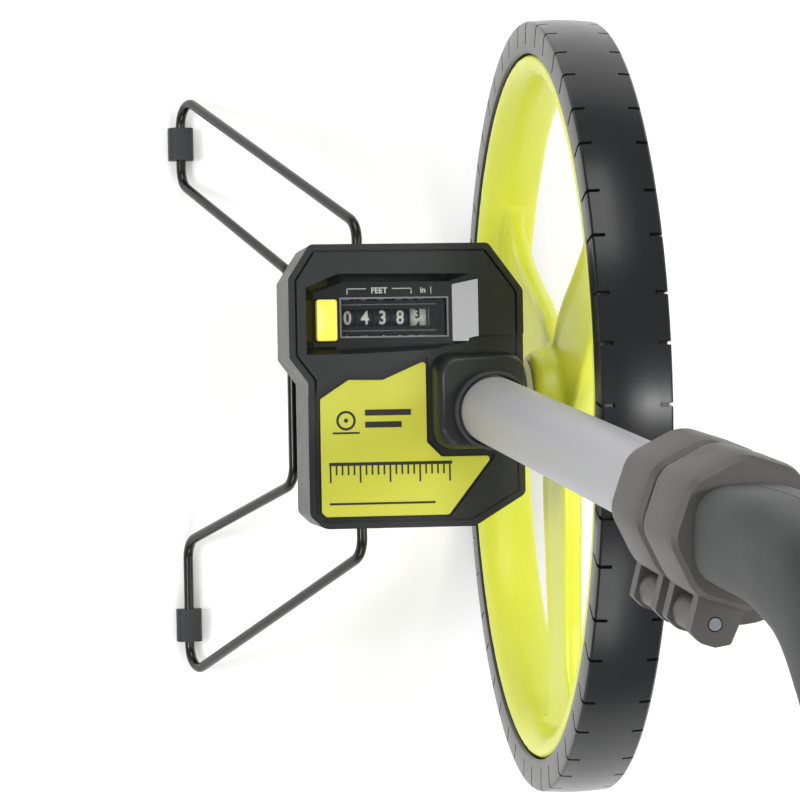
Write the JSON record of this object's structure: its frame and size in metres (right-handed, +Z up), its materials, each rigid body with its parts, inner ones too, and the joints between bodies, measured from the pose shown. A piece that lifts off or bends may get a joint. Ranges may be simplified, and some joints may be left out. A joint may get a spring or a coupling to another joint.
{
  "type": "measuring wheel",
  "caption": "One-wheel distance measurer with a geared drum counter, a fold-out wire stand and a telescopic handle.",
  "frame": {"origin": "the point where the tyre's centre plane meets the ground", "axes": "+X forward, +Y from the wheel to the counter housing along the axle, +Z up"},
  "size_m": [0.3005, 0.1644, 0.6079],
  "materials": {
    "lime_plastic": "semi-gloss moulded",
    "tyre_rubber": "moulded rubber",
    "black_rubber": "matt moulded rubber",
    "black_plastic": "fine-grained moulded ABS",
    "grey_plastic": "moulded nylon",
    "anodised_tube": "satin anodised",
    "steel": "zinc plated",
    "brass": "machined",
    "cast_aluminium": "die cast",
    "yellow_plastic": "gloss moulded",
    "label_lime": "printed polycarbonate label",
    "clear_plastic": "clear polycarbonate",
    "white_plastic": "moulded",
    "black_wire": "gloss black powder coat on steel wire",
    "nylon": "natural nylon"
  },
  "bodies": {
    "root": {"front_housing": "black_plastic", "rear_cover": "black_plastic", "cover_screw_1": "steel", "cover_screw_2": "steel", "cover_screw_3": "steel", "cover_screw_4": "steel", "label_plate": "label_lime", "window_lens": "clear_plastic", "socket_collar": "black_plastic", "tube_seal": "black_rubber", "tube_pin": "steel", "axle_carrier": "cast_aluminium", "axle": "steel", "axle_washer": "steel", "axle_nut": "steel", "axle_set_screw": "steel", "counter_frame": "steel", "idler_pin": "steel", "spring_seat": "black_plastic", "button_spring": "steel", "stand_bush_front": "nylon", "stand_bush_rear": "nylon", "lower_tube": "anodised_tube", "lower_clamp": "grey_plastic", "lower_lever_pin": "steel"},
    "wheel": {"tyre": "tyre_rubber", "wheel_rim": "lime_plastic", "hub_bush_left": "nylon", "hub_bush_right": "nylon", "drive_gear": "nylon", "gear_screw_1": "steel", "gear_screw_2": "steel", "gear_screw_3": "steel", "hub_cap": "black_plastic"},
    "idler": {"idler_gear": "nylon"},
    "counter_input": {"counter_shaft": "steel", "counter_pinion": "brass", "inch_drum": "white_plastic"},
    "feet_units": {"feet_drum_1": "black_plastic"},
    "feet_tens": {"feet_drum_2": "black_plastic"},
    "feet_hundreds": {"feet_drum_3": "black_plastic"},
    "feet_thousands": {"feet_drum_4": "black_plastic"},
    "button": {"reset_button": "yellow_plastic"},
    "stand": {"kickstand_wire": "black_wire", "stand_pad_front": "black_rubber", "stand_pad_rear": "black_rubber"},
    "lower_lever": {"lower_lever": "grey_plastic"},
    "middle_handle": {"middle_tube": "anodised_tube", "upper_clamp": "grey_plastic", "upper_lever_pin": "steel"},
    "upper_lever": {"upper_lever": "grey_plastic"},
    "upper_handle": {"upper_tube": "anodised_tube", "grip_left": "black_plastic", "grip_right": "black_plastic", "grip_screw_1": "steel", "grip_screw_2": "steel", "grip_screw_3": "steel"}
  },
  "joints": [
    {"name": "wheel_spin", "type": "hinge", "parent": "root", "child": "wheel", "pos_m": [0, 0, 0.1455], "axis": [0, 1, 0], "continuous": true},
    {"name": "idler_spin", "type": "hinge", "parent": "root", "child": "idler", "pos_m": [0.02109, 0, 0.15695], "axis": [0, 1, 0], "continuous": true},
    {"name": "inch_drum_spin", "type": "hinge", "parent": "root", "child": "counter_input", "pos_m": [0.0334, 0, 0.16363], "axis": [0, 1, 0], "continuous": true},
    {"name": "feet_units_spin", "type": "hinge", "parent": "root", "child": "feet_units", "pos_m": [0.0334, 0, 0.16363], "axis": [0, 1, 0], "continuous": true},
    {"name": "feet_tens_spin", "type": "hinge", "parent": "root", "child": "feet_tens", "pos_m": [0.0334, 0, 0.16363], "axis": [0, 1, 0], "continuous": true},
    {"name": "feet_hundreds_spin", "type": "hinge", "parent": "root", "child": "feet_hundreds", "pos_m": [0.0334, 0, 0.16363], "axis": [0, 1, 0], "continuous": true},
    {"name": "feet_thousands_spin", "type": "hinge", "parent": "root", "child": "feet_thousands", "pos_m": [0.0334, 0, 0.16363], "axis": [0, 1, 0], "continuous": true},
    {"name": "reset_press", "type": "slide", "parent": "root", "child": "button", "axis": [0, 0, -1], "range_m": [0, 0.003], "stiffness_N_per_m": 300, "springref_m": -0.002, "deforming": ["button_spring"]},
    {"name": "stand_fold", "type": "hinge", "parent": "root", "child": "stand", "pos_m": [0, 0.0754, 0.1455], "axis": [1, 0, 0], "range_deg": [0, 135]},
    {"name": "lower_lever_open", "type": "hinge", "parent": "root", "child": "lower_lever", "pos_m": [-0.05381, 0.02364, 0.43138], "axis": [0.1159, 0.0694, -0.9908], "range_deg": [0, 110]},
    {"name": "middle_slide", "type": "slide", "parent": "root", "child": "middle_handle", "axis": [-0.1159, -0.0694, 0.9908], "range_m": [0, 0.19]},
    {"name": "upper_lever_open", "type": "hinge", "parent": "middle_handle", "child": "upper_lever", "pos_m": [-0.05756, 0.02139, 0.46348], "axis": [0.1159, 0.0694, -0.9908], "range_deg": [0, 110]},
    {"name": "upper_slide", "type": "slide", "parent": "middle_handle", "child": "upper_handle", "axis": [-0.1159, -0.0694, 0.9908], "range_m": [0, 0.2]}
  ],
  "couplings": [
    {"joint": "idler_spin", "follows": "wheel_spin", "ratio": -1.6667},
    {"joint": "inch_drum_spin", "follows": "wheel_spin", "ratio": 3},
    {"joint": "feet_units_spin", "follows": "wheel_spin", "ratio": 0.3},
    {"joint": "feet_tens_spin", "follows": "wheel_spin", "ratio": 0.03},
    {"joint": "feet_hundreds_spin", "follows": "wheel_spin", "ratio": 0.003},
    {"joint": "feet_thousands_spin", "follows": "wheel_spin", "ratio": 0.0003}
  ]
}
